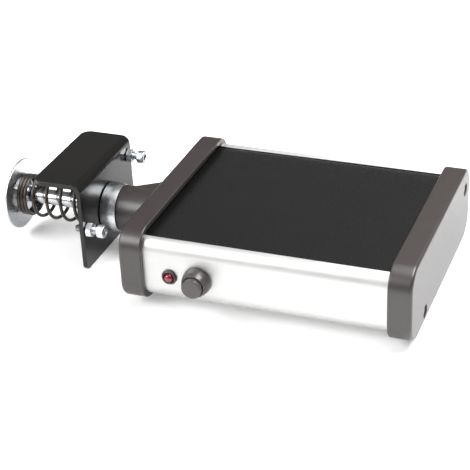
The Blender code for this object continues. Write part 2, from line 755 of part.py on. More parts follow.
def button_spring(centre, low, high):
    """Small spring round the stem, turned about X and then stood along Y."""
    wire, radius, turns = 0.5, 3.3, 4
    count = turns * 10
    span = high - low - wire
    parts = [k / count for k in range(count + 1)]
    stations = [(low + wire / 2 + span * t, radius, 2 * pi * turns * t) for t in parts]
    bm = coil_mesh(stations, wire, 5)
    bmesh.ops.rotate(bm, verts=bm.verts, matrix=Matrix.Rotation(pi / 2, 3, "Z"))
    add_object("button_spring", bm, "bright_steel", centre)


# ---------------------------------------------------------------- works

def solenoid():
    """Coil on a bobbin in a U-shaped frame, which pulls the rod."""
    wall = 1.5
    end = COIL_LEFT - GAP
    far_end = COIL_RIGHT + GAP
    height = 11.2
    low_z, high_z = TRAY_BOTTOM, AXIS_Z + height
    outside = [(end - wall, high_z), (end - wall, low_z), (far_end + wall, low_z), (far_end + wall, high_z)]
    inside = [(far_end, high_z), (far_end, low_z + wall), (end, low_z + wall), (end, high_z)]
    section = [Vector(p) for p in outside + inside]
    frame = add_object("solenoid_frame", prism(section, -11.5, 11.5, "Y"), "zinc_plate")
    drill(frame, "cut_frame", ROD_RADIUS + 2 * GAP, end - 5, end + 1, "X", (0, 0, AXIS_Z))
    sleeve = ROD_RADIUS + GAP + 1.0
    bobbin = [
        (COIL_LEFT, ROD_RADIUS + GAP),
        (COIL_LEFT, COIL_RADIUS + 0.4),
        (COIL_LEFT + 1.2, COIL_RADIUS + 0.4),
        (COIL_LEFT + 1.2, sleeve),
        (COIL_RIGHT - 1.2, sleeve),
        (COIL_RIGHT - 1.2, COIL_RADIUS + 0.4),
        (COIL_RIGHT, COIL_RADIUS + 0.4),
        (COIL_RIGHT, ROD_RADIUS + GAP),
    ]
    on_axis("solenoid_bobbin", bobbin, "bobbin_nylon", 20)
    winding = tube(COIL_LEFT + 1.2 + GAP, COIL_RIGHT - 1.2 - GAP, COIL_RADIUS, sleeve + GAP, 0.4)
    on_axis("solenoid_winding", winding, "copper_winding", 20)


def circuit():
    """Driver board on four posts, with a chip, a capacitor and a plug."""
    top = BOARD_Z + BOARD_THICK
    board = block(BOARD_X, BOARD_Y, (BOARD_Z, top))
    add_object("circuit_board", board, "circuit_green")
    inset = 4.0
    number = 0
    for x in (BOARD_X[0] + inset, BOARD_X[1] - inset):
        for y in (BOARD_Y[0] + inset, BOARD_Y[1] - inset):
            number += 1
            low, high = FLOOR_TOP + GAP, BOARD_Z - GAP
            post = turned([(low, 0), (low, 2.5), (high, 2.5), (high, 0)], "Z", 12)
            add_object(f"board_post_{number}", post, "bobbin_nylon", (x, y, 0))
    middle_y = sum(BOARD_Y) / 2
    seat = top + GAP
    add_object("control_chip", block((-5, 5), (-5, 5), (seat, seat + 2)), "chip_black", (20, middle_y, 0))
    can = turned([(seat, 0), (seat, 5), (seat + 14.6, 5), (seat + 15, 4.6), (seat + 15, 0)], "Z", 20)
    add_object("buffer_capacitor", can, "capacitor_sleeve", (40, middle_y, 0))
    add_object("board_connector", block((-3, 3), (-8, 8), (seat, seat + 6)), "bobbin_nylon", (5, middle_y, 0))


def battery():
    """Two lithium cells lying in an open tray."""
    floor = 1.2
    rim = 2.0
    tray = add_object("battery_tray", block(TRAY_X, TRAY_Y, (TRAY_BOTTOM, 2.0)), "holder_plastic")
    inside_x = (TRAY_X[0] + rim, TRAY_X[1] - rim)
    inside_y = (TRAY_Y[0] + 1.0, TRAY_Y[1] - 1.0)
    carve(tray, "cut_tray", block(inside_x, inside_y, (TRAY_BOTTOM + floor, 10)))
    cell_z = TRAY_BOTTOM + floor + GAP + CELL_RADIUS
    middle = sum(TRAY_X) / 2
    low, high = middle - CELL_LENGTH / 2, middle + CELL_LENGTH / 2
    for number, y in enumerate(CELL_Y, 1):
        profile = [
            (low, 0), (low, CELL_RADIUS - 0.5), (low + 0.5, CELL_RADIUS), (high - 0.5, CELL_RADIUS),
            (high, CELL_RADIUS - 0.5), (high, 2.8), (high + 1.5, 2.8), (high + 1.5, 0),
        ]
        add_object(f"battery_cell_{number}", turned(profile, "X", 20), "cell_sleeve", (0, y, cell_z))
        for suffix, edge, sign in (("negative", inside_x[0], 1), ("positive", inside_x[1], -1)):
            x_range = sorted((edge + sign * GAP, edge + sign * (GAP + 0.5)))
            plate = block(x_range, (-5, 5), (-6, 6))
            add_object(f"cell_contact_{suffix}_{number}", plate, "bright_steel", (0, y, cell_z))


def main():
    clear_scene()
    bpy.ops.object.empty_add(location=Vector((-UNIT_MIDDLE_X, -UNIT_MIDDLE_Y, -BRACKET_BOTTOM)) * MM)
    bpy.context.object.name = "unit_origin"
    housing_extrusion()
    top_panel()
    left = bezel("left_bezel", -1)
    bezel("right_bezel", 1)
    for side_name, side in (("left", -1), ("right", 1)):
        for place_name, (y, z) in END_SCREWS.items():
            end_screw(f"end_screw_{side_name}_{place_name}", side, y, z)
    spindle_boss()
    boss_screws(left)
    lock_ring()
    guide_bush()
    plunger_rod()
    rod_clip()
    plunger_disc()
    disc_screw()
    return_spring()
    mounting_bracket()
    for name, (y, z) in ADJUSTERS.items():
        adjuster(name, y, z)
    lamp()
    push_button()
    solenoid()
    circuit()
    battery()


main()
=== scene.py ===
"""Looks of the battery drive unit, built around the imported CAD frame.

Numbers are millimetres from the centre of the box unless they say otherwise: X runs
along the plunger, Y away from the front panel and Z up. The helpers scale them to
metres and put them where the CAD says the box is.
"""
from math import acos, atan2, cos, pi, radians, sin, tan

import bmesh
import bpy
from mathutils import Matrix, Vector


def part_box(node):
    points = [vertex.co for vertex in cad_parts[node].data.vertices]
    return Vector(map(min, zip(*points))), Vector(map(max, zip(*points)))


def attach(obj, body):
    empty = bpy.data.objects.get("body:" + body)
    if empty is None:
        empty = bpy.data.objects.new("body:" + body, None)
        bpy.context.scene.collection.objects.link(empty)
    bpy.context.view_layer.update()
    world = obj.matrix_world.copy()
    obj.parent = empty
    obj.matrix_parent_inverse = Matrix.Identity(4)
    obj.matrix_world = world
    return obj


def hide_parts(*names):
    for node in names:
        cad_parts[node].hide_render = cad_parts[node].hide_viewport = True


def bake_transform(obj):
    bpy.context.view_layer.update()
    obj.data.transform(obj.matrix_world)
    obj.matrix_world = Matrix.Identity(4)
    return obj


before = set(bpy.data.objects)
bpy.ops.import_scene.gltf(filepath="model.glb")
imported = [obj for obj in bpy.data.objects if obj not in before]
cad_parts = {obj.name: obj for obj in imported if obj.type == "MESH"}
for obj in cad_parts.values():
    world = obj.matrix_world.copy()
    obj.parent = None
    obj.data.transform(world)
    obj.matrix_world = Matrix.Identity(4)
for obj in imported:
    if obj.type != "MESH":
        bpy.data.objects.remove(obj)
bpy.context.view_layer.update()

MM = 0.001
GAP = 0.3
CENTRE = (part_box("left_bezel")[0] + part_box("right_bezel")[1]) / 2

# Box.
HALF_LENGTH = 74.5
HALF_DEPTH = 61.0
HALF_HEIGHT = 20.0
BEZEL_THICK = 12.0
BEZEL_RADIUS = 11.2
BEZEL_ROUND = 1.6
BEZEL_INNER_ROUND = 0.7
BEZEL_SEAT = 3.0
BEZEL_WALL = 5.0
INSET = 2.8
WALL = 2.2
FLOOR_TOP = -15.0
CEILING = 10.3
PANEL_TOP = 14.8
PANEL_THICK = 2.0
LIP_BASE_Y = 51.8
LIP_BASE_Z = 15.4
LIP_RIDGE_Y = 53.2
GROOVE_Y = 54.3
INNER_X = HALF_LENGTH - BEZEL_THICK
SECTION_Y = HALF_DEPTH - INSET
SECTION_Z = HALF_HEIGHT - INSET
SECTION_RADIUS = BEZEL_RADIUS - INSET
END_SCREWS = {"near": (-33.7, -15.0), "far": (50.3, 8.9)}
RECESS_DEPTH = 3.2
RECESS_RADIUS = 3.4
SCREW_HEAD_RADIUS = 2.9
SCREW_RADIUS = 1.5

# Spindle, plunger and bracket.
AXIS_Z = -1.7
BOSS_LEFT = -99.0
BOSS_RADIUS = 12.6
WING_REACH = 16.3
WING_THICK = 8.75
RING_LEFT = -107.9
RING_RADIUS = 13.3
RING_CROWN = 5.0
RING_DROP = 0.7
BUSH_RADIUS = 8.0
BUSH_FLANGE_RADIUS = 9.8
BUSH_FLANGE_THICK = 1.6
BUSH_RIGHT = -76.0
ROD_RADIUS = 4.2
ROD_RIGHT = -41.0
DISC_RIGHT = -160.0
DISC_THICK = 1.2
DISC_RADIUS = 19.4
SPRING_WIRE = 1.9
SPRING_RADIUS = 10.2
SPRING_FLARE = 1.2
SPRING_CLOSED_TURNS = 3.0
SPRING_OPEN_TURNS = 4.6
SPRING_END_TURNS = 1.0
SPRING_SPACE = 0.15
PLATE_RIGHT = -108.2
PLATE_THICK = 2.5
PLATE_LEFT = PLATE_RIGHT - PLATE_THICK
FLANGE_LEFT = -135.6
BRACKET_HALF = 31.5
BRACKET_TOP = 25.3
BRACKET_BOTTOM = -24.5
BEND_RADIUS = 4.5
FLANGE_CORNER = 5.5
PLATE_CORNER = 3.0
MARGIN = 5.0
CLEAR = 40.0
ADJUSTERS = {"near": (-27.3, -1.7), "far": (27.4, 15.4)}
M4_RADIUS = 2.0
M4_PITCH = 0.7
M4_HEAD_RADIUS = 3.5
M4_HEAD_LENGTH = 4.0
M4_SOCKET_FLATS = 3.0
M4_SOCKET_DEPTH = 2.0
M4_NUT_FLATS = 7.0
M4_NUT_LENGTH = 3.2
ADJUSTER_NECK = 2.8
ADJUSTER_TIP = 4.0

# Front panel.
LAMP_X, LAMP_Z = -48.6, -2.6
LAMP_RADIUS = 2.5
LAMP_HOLDER_RADIUS = 4.0
LAMP_NECK_RADIUS = 3.2
BUTTON_X, BUTTON_Z = -33.8, -2.4
BUTTON_BASE_RADIUS = 7.5
BUTTON_NECK_RADIUS = 6.0
BUTTON_CAP_RADIUS = 5.2
BUTTON_RIM_REACH = 6.4
BUTTON_CAP_REACH = 8.9
STEM_RADIUS = 2.0


# ---------------------------------------------------------------- shapes

def outline(corners, steps=6):
    """Closed outline through (u, v, radius) corners, each rounded by its radius."""
    points = []
    for index, (u, v, radius) in enumerate(corners):
        corner = Vector((u, v))
        if radius == 0:
            points.append(corner)
            continue
        before = (Vector(corners[index - 1][:2]) - corner).normalized()
        after = (Vector(corners[(index + 1) % len(corners)][:2]) - corner).normalized()
        half = before.angle(after) / 2
        centre = corner + (before + after).normalized() * (radius / sin(half))
        start = corner + before * (radius / tan(half)) - centre
        end = corner + after * (radius / tan(half)) - centre
        sweep = atan2(start.cross(end), start.dot(end))
        for step in range(steps + 1):
            points.append(centre + Matrix.Rotation(sweep * step / steps, 2) @ start)
    return points


def rectangle(u_range, v_range, radius=0, steps=6):
    """Outline of a rectangle with equal corner radii."""
    (u0, u1), (v0, v1) = u_range, v_range
    return outline([(u0, v0, radius), (u1, v0, radius), (u1, v1, radius), (u0, v1, radius)], steps)


def place(axis, along, u, v):
    """Point at a distance along an axis, with (u, v) across it in X, Y, Z order."""
    return {"X": (along, u, v), "Y": (u, along, v), "Z": (u, v, along)}[axis]


def loft(sections, axis):
    """Closed solid through (along, outline) sections with equal point counts."""
    bm = bmesh.new()
    rings = []
    for along, points in sections:
        rings.append([bm.verts.new(place(axis, along, u, v)) for u, v in points])
    for low, high in zip(rings, rings[1:]):
        for k in range(len(low)):
            bm.faces.new((low[k - 1], low[k], high[k], high[k - 1]))
    bm.faces.new(rings[0])
    bm.faces.new(rings[-1])
    return bm


def prism(points, low, high, axis):
    """Closed prism with the outline across the axis."""
    return loft([(low, points), (high, points)], axis)


def turned(profile, axis="X", segments=96):
    """Piece from (along, reach) points; a reach is a radius, or a function of the angle."""
    bm = bmesh.new()
    rings = []
    angles = [2 * pi * k / segments for k in range(segments)]
    for along, reach in profile:
        if reach == 0:
            rings.append([bm.verts.new(place(axis, along, 0, 0))] * segments)
            continue
        radii = [reach(a) if callable(reach) else reach for a in angles]
        spots = [place(axis, along, r * cos(a), r * sin(a)) for a, r in zip(angles, radii)]
        rings.append([bm.verts.new(spot) for spot in spots])
    if profile[0][1] != 0:
        rings.append(rings[0])
    for low, high in zip(rings, rings[1:]):
        for k in range(segments):
            corners = dict.fromkeys((low[k - 1], low[k], high[k], high[k - 1]))
            if len(corners) > 2:
                bm.faces.new(tuple(corners))
    return bm


def coil(stations, wire, sides):
    """Round wire swept through (along, radius, turn angle) stations of a coil about X."""
    bm = bmesh.new()
    centres = [Vector((x, r * cos(a), r * sin(a))) for x, r, a in stations]
    rings = []
    for k, centre in enumerate(centres):
        tangent = (centres[min(k + 1, len(centres) - 1)] - centres[max(k - 1, 0)]).normalized()
        outward = Vector((0, centre.y, centre.z)).normalized()
        across = tangent.cross(outward).normalized()
        outward = across.cross(tangent)
        angles = [2 * pi * j / sides for j in range(sides)]
        rings.append([bm.verts.new(centre + wire / 2 * (outward * cos(a) + across * sin(a))) for a in angles])
    for low, high in zip(rings, rings[1:]):
        for j in range(sides):
            bm.faces.new((low[j - 1], low[j], high[j], high[j - 1]))
    bm.faces.new(rings[0])
    bm.faces.new(rings[-1])
    return bm


def hexagon_reach(flats):
    """Reach of a hexagon's side from its centre, as a function of the angle."""
    return lambda a: flats / 2 / cos((a + pi / 6) % (pi / 3) - pi / 6)


def cross_reach(arm, half):
    """Reach of a cross-head recess with four arms."""
    def reach(a):
        c, s = max(abs(cos(a)), 1e-6), max(abs(sin(a)), 1e-6)
        return max(min(arm / c, half / s), min(arm / s, half / c))
    return reach


def new_object(name, bm, at=(0, 0, 0)):
    """Turn a bmesh in millimetres into an object whose place is in its mesh."""
    bmesh.ops.translate(bm, vec=Vector(at), verts=bm.verts)
    bmesh.ops.scale(bm, vec=(MM, MM, MM), verts=bm.verts)
    bmesh.ops.translate(bm, vec=CENTRE, verts=bm.verts)
    bmesh.ops.recalc_face_normals(bm, faces=bm.faces)
    mesh = bpy.data.meshes.new(name)
    bm.to_mesh(mesh)
    bm.free()
    item = bpy.data.objects.new(name, mesh)
    bpy.context.collection.objects.link(item)
    return item


def combine(target, operation, bm, at=(0, 0, 0)):
    """Cut or join a shape, and keep only the result."""
    cutter = new_object("cutter", bm, at)
    modifier = target.modifiers.new("cut", "BOOLEAN")
    modifier.operation = operation
    modifier.solver = "EXACT"
    modifier.object = cutter
    keep_result(target)
    bpy.data.objects.remove(cutter)


def keep_result(item):
    """Replace an object's mesh with what its modifiers make of it."""
    graph = bpy.context.evaluated_depsgraph_get()
    mesh = bpy.data.meshes.new_from_object(item.evaluated_get(graph))
    item.modifiers.clear()
    item.data = mesh


def soften(item, width, segments=3, angle=40):
    """Round the edges that are sharper than an angle."""
    bm = bmesh.new()
    bm.from_mesh(item.data)
    bmesh.ops.remove_doubles(bm, verts=bm.verts, dist=1e-7)
    bmesh.ops.dissolve_limit(bm, angle_limit=radians(0.5), verts=bm.verts, edges=bm.edges)
    bm.to_mesh(item.data)
    bm.free()
    modifier = item.modifiers.new("round", "BEVEL")
    modifier.width = width * MM
    modifier.segments = segments
    modifier.limit_method = "ANGLE"
    modifier.angle_limit = radians(angle)
    keep_result(item)


def finish_piece(item, slot, body="housing", stands_for=None, sharp=35):
    """Shade a piece, give it its material, tie it to its body if it has one, and hide the CAD nodes it stands
    for.
    """
    mesh = item.data
    mesh.shade_smooth()
    mesh.set_sharp_from_angle(angle=radians(sharp))
    weighted = item.modifiers.new("normals", "WEIGHTED_NORMAL")
    weighted.keep_sharp = True
    mesh.materials.clear()
    mesh.materials.append(MATERIALS[slot])
    if body:
        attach(item, body)
    if stands_for:
        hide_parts(*stands_for)
    return item


# ---------------------------------------------------------------- materials

class Graph:
    """Short-hand for wiring one material's nodes."""

    def __init__(self, name):
        self.material = bpy.data.materials.new(name)
        self.material.use_nodes = True
        self.nodes = self.material.node_tree.nodes
        self.links = self.material.node_tree.links
        self.shader = self.nodes["Principled BSDF"]
        self.place = self.nodes.new("ShaderNodeTexCoord").outputs["Object"]

    def noise(self, scale, stretch=(1, 1, 1), detail=3.0):
        """Noise in object space, with scale in features per metre."""
        mapping = self.nodes.new("ShaderNodeMapping")
        mapping.inputs["Scale"].default_value = stretch
        self.links.new(self.place, mapping.inputs["Vector"])
        node = self.nodes.new("ShaderNodeTexNoise")
        node.inputs["Scale"].default_value = scale
        node.inputs["Detail"].default_value = detail
        self.links.new(mapping.outputs["Vector"], node.inputs["Vector"])
        return node.outputs["Fac"]

    def spread(self, value, low, high):
        """Noise stretched over a range of numbers."""
        node = self.nodes.new("ShaderNodeMapRange")
        node.inputs["From Min"].default_value = 0.3
        node.inputs["From Max"].default_value = 0.7
        node.inputs["To Min"].default_value = low
        node.inputs["To Max"].default_value = high
        self.links.new(value, node.inputs["Value"])
        return node.outputs["Result"]

    def ramp(self, value, stops):
        """Colours along a value, from (position, colour) stops."""
        node = self.nodes.new("ShaderNodeValToRGB")
        elements = node.color_ramp.elements
        while len(elements) < len(stops):
            elements.new(0.5)
        for element, (position, colour) in zip(elements, stops):
            element.position = position
            element.color = (*colour, 1.0)
        self.links.new(value, node.inputs["Fac"])
        return node.outputs["Color"]

    def mix(self, factor, first, second):
        """Blend of two colours by a factor."""
        node = self.nodes.new("ShaderNodeMix")
        node.data_type = "RGBA"
        self.links.new(factor, node.inputs["Factor"])
        self.links.new(first, node.inputs["A"])
        self.links.new(second, node.inputs["B"])
        return node.outputs["Result"]

    def bump(self, value, strength, depth, under=None):
        """Fine relief, over another one if given."""
        node = self.nodes.new("ShaderNodeBump")
        node.inputs["Strength"].default_value = strength
        node.inputs["Distance"].default_value = depth * MM
        self.links.new(value, node.inputs["Height"])
        if under:
            self.links.new(under, node.inputs["Normal"])
        return node.outputs["Normal"]

    def plug(self, value, socket):
        """Wire a value into one of the shader's sockets."""
        self.links.new(value, self.shader.inputs[socket])


def shades(colour, spread):
    """A darker and a lighter version of a colour."""
    return [tuple(c * (1 - spread) for c in colour), tuple(c * (1 + spread) for c in colour)]


def surface(name, colour, roughness, metallic=0.0, tint=0.12, blotch=90, grain=2600,
            stretch=(1, 1, 1), rough_spread=0.05, relief=0.15, depth=0.02, specular=0.5, coat=0.0):
    """Material with slow colour drift, fine grain in the finish and matching relief."""
    graph = Graph(name)
    dark, light = shades(colour, tint)
    slow = graph.noise(blotch, detail=2)
    fine = graph.noise(grain, stretch)
    drift = graph.ramp(slow, [(0.3, dark), (0.7, light)])
    dark, light = shades(colour, tint * 0.8)
    speckle = graph.ramp(fine, [(0.3, dark), (0.7, light)])
    graph.plug(graph.mix(fine, drift, speckle), "Base Color")
    graph.plug(graph.spread(fine, roughness - rough_spread, roughness + rough_spread), "Roughness")
    graph.plug(graph.bump(fine, relief, depth), "Normal")
    graph.shader.inputs["Metallic"].default_value = metallic
    graph.shader.inputs["Specular IOR Level"].default_value = specular
    graph.shader.inputs["Coat Weight"].default_value = coat
    graph.shader.inputs["Coat Roughness"].default_value = 0.08
    return graph.material


MATERIALS = {
    "anodised_aluminium": surface("anodised_aluminium_satin", (0.51, 0.51, 0.503), 0.46, 1.0, tint=0.02,
                                  grain=2200, stretch=(0.03, 1, 1), relief=0.06, depth=0.008),
    "black_panel": surface("black_panel_satin", (0.005, 0.005, 0.0048), 0.27, tint=0.12, blotch=70,
                           grain=3500, rough_spread=0.015, relief=0.01, depth=0.002),
    "grey_plastic": surface("grey_plastic_spark_texture", (0.025, 0.020, 0.019), 0.38, tint=0.10, blotch=120,
                            grain=3200, relief=0.30, depth=0.025, specular=0.65),
    "black_paint": surface("black_powder_coat", (0.0075, 0.007, 0.0065), 0.22, tint=0.12, blotch=150,
                           grain=1800, rough_spread=0.03, relief=0.05, depth=0.01, specular=0.30),
    "zinc_plate": surface("zinc_plate_bright", (0.57, 0.585, 0.605), 0.31, 1.0, tint=0.05, blotch=300,
                          grain=3000, stretch=(1, 0.15, 0.15), relief=0.06, depth=0.006),
    "screw_zinc": surface("zinc_plate_screws", (0.52, 0.53, 0.54), 0.40, 1.0, tint=0.03, blotch=400,
                         grain=3000, relief=0.05, depth=0.005),
    "bright_steel": surface("bright_steel_polished", (0.50, 0.51, 0.52), 0.22, 1.0, tint=0.05, blotch=300,
                            grain=4000, stretch=(3, 1, 1), rough_spread=0.03, relief=0.04, depth=0.005),
    "spring_steel": surface("spring_steel_blackened", (0.050, 0.043, 0.038), 0.30, 0.5, tint=0.25, blotch=700,
                            grain=3500, relief=0.15, depth=0.02),
    "bronze": surface("bronze_sintered", (0.50, 0.33, 0.17), 0.40, 1.0, tint=0.2, grain=3500, relief=0.2),
    "switch_plastic": surface("switch_plastic_satin", (0.045, 0.040, 0.038), 0.30, tint=0.08,
                              grain=4500, relief=0.12, depth=0.01),
    "red_lens": surface("red_lens_clear", (0.16, 0.004, 0.012), 0.12, tint=0.25, blotch=500, grain=2500,
                        rough_spread=0.02, relief=0.03, depth=0.01, coat=0.6),
    "circuit_green": surface("circuit_green_mask", (0.020, 0.12, 0.045), 0.42, tint=0.25, blotch=500),
    "chip_black": surface("chip_black_moulded", (0.020, 0.020, 0.022), 0.45, tint=0.2),
    "capacitor_sleeve": surface("capacitor_sleeve_shrunk", (0.03, 0.04, 0.11), 0.28, tint=0.15),
    "holder_plastic": surface("holder_plastic_moulded", (0.04, 0.04, 0.042), 0.52, tint=0.15),
    "cell_sleeve": surface("cell_sleeve_shrunk", (0.06, 0.16, 0.30), 0.30, tint=0.12),
    "copper_winding": surface("copper_winding_enamelled", (0.62, 0.26, 0.11), 0.32, 1.0, tint=0.3,
                              grain=2600, stretch=(1, 0.05, 0.05), relief=0.6, depth=0.1),
    "bobbin_nylon": surface("bobbin_nylon_natural", (0.72, 0.70, 0.64), 0.50, tint=0.06),
}

HIDDEN_NODES = {
    "zinc_plate": ["boss_screw_upper", "boss_screw_lower", "switch_nut", "solenoid_frame"],
    "spring_steel": ["rod_clip"],
    "bright_steel": ["cell_contact_negative_1", "cell_contact_positive_1",
                     "cell_contact_negative_2", "cell_contact_positive_2"],
    "chip_black": ["switch_block", "control_chip"],
    "bobbin_nylon": ["solenoid_bobbin", "board_post_1", "board_post_2", "board_post_3", "board_post_4",
                     "board_connector"],
    "copper_winding": ["solenoid_winding"],
    "circuit_green": ["circuit_board"],
    "capacitor_sleeve": ["buffer_capacitor"],
    "holder_plastic": ["battery_tray"],
    "cell_sleeve": ["battery_cell_1", "battery_cell_2"],
}


def dress_hidden_nodes():
    """Works inside the box keep their CAD shape and get a fuller material."""
    for slot, names in HIDDEN_NODES.items():
        for name in names:
            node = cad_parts[name]
            node.data.materials.clear()
            node.data.materials.append(MATERIALS[slot])


# ---------------------------------------------------------------- box

def section_corners(grow=0.0, steps=16):
    """Outside section of the extrusion, larger by grow."""
    y, z = SECTION_Y + grow, SECTION_Z + grow
    return rectangle((-y, y), (-z, z), SECTION_RADIUS + grow, steps)


def lip_arc():
    """Top corner of the section from its side up to the tip of the lip, for +Y."""
    centre_y, centre_z = SECTION_Y - SECTION_RADIUS, SECTION_Z - SECTION_RADIUS
    ease = 0.3
    tip_angle = acos((LIP_RIDGE_Y + ease - centre_y) / SECTION_RADIUS)
    steps = 14
    points = []
    for k in range(steps + 1):
        a = tip_angle * k / steps
        points.append((centre_y + SECTION_RADIUS * cos(a), centre_z + SECTION_RADIUS * sin(a)))
    ridge_z = points[-1][1]
    slope = (ridge_z - LIP_BASE_Z) / (LIP_RIDGE_Y - LIP_BASE_Y)
    points += [(LIP_RIDGE_Y + ease / 2, ridge_z + 0.02), (LIP_RIDGE_Y - ease / 2, ridge_z - slope * ease / 2)]
    points += [(LIP_BASE_Y + 0.1, LIP_BASE_Z + 0.08), (LIP_BASE_Y, LIP_BASE_Z - 0.05)]
    return points


def extrusion():
    """Hollow satin section with rolled corners, lips and grooves for the panel, and screw ports."""
    reach = INNER_X + BEZEL_SEAT - GAP
    over = reach + 5
    groove_low = PANEL_TOP - PANEL_THICK - GAP
    groove_high = PANEL_TOP + GAP
    bottom = section_corners()
    lower = [p for p in bottom if p.y < 0]
    right = lip_arc() + [(LIP_BASE_Y, groove_high), (GROOVE_Y, groove_high), (GROOVE_Y, groove_low)]
    left = [(-y, z) for y, z in reversed(right)]
    points = [*lower, *(Vector(p) for p in right + left)]
    body = new_object("box_extrusion", prism(points, -reach, reach, "X"))
    side = SECTION_Y - WALL
    port = SCREW_RADIUS + WALL
    (near_y, near_z), (far_y, far_z) = END_SCREWS["near"], END_SCREWS["far"]
    cavity = outline([
        (-side, FLOOR_TOP, 4),
        (near_y - port, FLOOR_TOP, 0),
        (near_y - port, near_z + port, 0),
        (near_y + port, near_z + port, 0),
        (near_y + port, FLOOR_TOP, 0),
        (side, FLOOR_TOP, 4),
        (side, far_z - port, 0),
        (far_y - port, far_z - port, 0),
        (far_y - port, CEILING, 0),
        (-side, CEILING, 2),
    ])
    combine(body, "DIFFERENCE", prism(cavity, -over, over, "X"))
    radius = SCREW_RADIUS + GAP
    for y, z in END_SCREWS.values():
        hole = turned([(-over, 0), (-over, radius), (over, radius), (over, 0)], segments=32)
        combine(body, "DIFFERENCE", hole, (0, y, z))
    for radius, x, z in ((3.5, LAMP_X, LAMP_Z), (6.3, BUTTON_X, BUTTON_Z)):
        low, high = -SECTION_Y - WALL, -SECTION_Y + 2 * WALL
        hole = turned([(low, 0), (low, radius), (high, radius), (high, 0)], "Y", 48)
        combine(body, "DIFFERENCE", hole, (x, 0, z))
    finish_piece(body, "anodised_aluminium", stands_for=["housing_extrusion"], sharp=25)


def panel():
    """Satin sheet let into the top, with its edges eased."""
    half_y = GROOVE_Y - GAP
    reach = INNER_X + BEZEL_SEAT - GAP
    sheet = rectangle((-half_y, half_y), (PANEL_TOP - PANEL_THICK, PANEL_TOP), 0.3, 3)
    body = new_object("top_sheet", prism(sheet, -reach, reach, "X"))
    finish_piece(body, "black_panel", stands_for=["top_panel"])


def bezel(name, side):
    """Moulded end cap with rolled edges, a seat for the section and two screw wells."""
    inner, outer = side * INNER_X, side * HALF_LENGTH
    stations = []
    steps = 4
    for k in range(steps + 1):
        a = pi / 2 * k / steps
        stations.append((inner + side * BEZEL_INNER_ROUND * (1 - cos(a)), BEZEL_INNER_ROUND * (1 - sin(a))))
    steps = 7
    for k in range(steps + 1):
        a = pi / 2 * k / steps
        stations.append((outer - side * BEZEL_ROUND * (1 - sin(a)), BEZEL_ROUND * (1 - cos(a))))
    sections = []
    for x, inset in stations:
        y, z = HALF_DEPTH - inset, HALF_HEIGHT - inset
        sections.append((x, rectangle((-y, y), (-z, z), BEZEL_RADIUS - inset, 16)))
    body = new_object(name, loft(sections, "X"))
    seat_end = inner + side * BEZEL_SEAT
    combine(body, "DIFFERENCE", prism(section_corners(GAP), *sorted((inner - side, seat_end)), "X"))
    core = rectangle((-27, 43), (-13.5, 11), 3, 6)
    combine(body, "DIFFERENCE", prism(core, *sorted((inner - side, outer - side * BEZEL_WALL)), "X"))
    for y, z in END_SCREWS.values():
        face, ease = outer - side * RECESS_DEPTH, 0.35
        well = [(inner - side, 0), (inner - side, SCREW_RADIUS + GAP), (face, SCREW_RADIUS + GAP),
                (face, RECESS_RADIUS), (outer - side * ease, RECESS_RADIUS)]
        for k in range(1, 5):
            a = pi / 2 * k / 4
            well.append((outer - side * ease * (1 - sin(a)), RECESS_RADIUS + ease * (1 - cos(a))))
        well += [(outer + side, RECESS_RADIUS + ease), (outer + side, 0)]
        combine(body, "DIFFERENCE", turned(well, segments=48), (0, y, z))
    if side < 0:
        low, high = outer - 1, outer + BEZEL_WALL + 1
        bore = ROD_RADIUS + 2 * GAP
        combine(body, "DIFFERENCE", turned([(low, 0), (low, bore), (high, bore), (high, 0)], segments=48),
                (0, 0, AXIS_Z))
    finish_piece(body, "grey_plastic", stands_for=[name.replace("_cap", "_bezel")])


def end_screw(side_name, side, place_name, y, z):
    """Cross-head screw sunk in a bezel's well."""
    seat = side * (HALF_LENGTH - RECESS_DEPTH + GAP)
    head = seat + side * 2.0
    tip = seat - side * 16
    recess = cross_reach(1.7, 0.38)
    profile = [(tip, 0), (tip, 1.1), (tip + side * 0.6, SCREW_RADIUS), (seat, SCREW_RADIUS),
               (seat, SCREW_HEAD_RADIUS)]
    for k in range(9):
        a = pi / 2 * k / 8
        profile.append((head - side * 0.9 * (1 - sin(a)), SCREW_HEAD_RADIUS - 0.9 * (1 - cos(a))))
    profile += [(head, recess), (head - side * 1.1, cross_reach(1.2, 0.3)), (head - side * 1.1, 0)]
    item = new_object(f"bezel_screw_{side_name}_{place_name}", turned(profile, segments=96), (0, y, z))
    finish_piece(item, "zinc_plate", stands_for=[f"end_screw_{side_name}_{place_name}"])
    item.data.materials[0] = MATERIALS["screw_zinc"]


# ---------------------------------------------------------------- spindle and plunger

def on_axis(name, profile, slot, body, stands_for, segments=96):
    """Turned piece on the plunger's axis."""
    item = new_object(name, turned(profile, segments=segments), (0, 0, AXIS_Z))
    return finish_piece(item, slot, body, stands_for)


def boss_reach(x):
    """Reach of the boss at one place along X: a round nose with two wings that widen to the right."""
    right = -HALF_LENGTH - GAP
    share = max(0.0, (x - BOSS_LEFT - 1) / (right - BOSS_LEFT - 1))
    width = 0.3 + (WING_REACH - 0.3) * share
    top = BOSS_RADIUS - 0.15
    low = top - WING_THICK

    def reach(a):
        y, z = cos(a), sin(a)
        if y * z <= 0:
            return BOSS_RADIUS
        y, z = abs(y), abs(z)
        edge = min(width / y, top / z)
        if edge * z < low:
            return BOSS_RADIUS
        return max(BOSS_RADIUS, edge)
    return reach


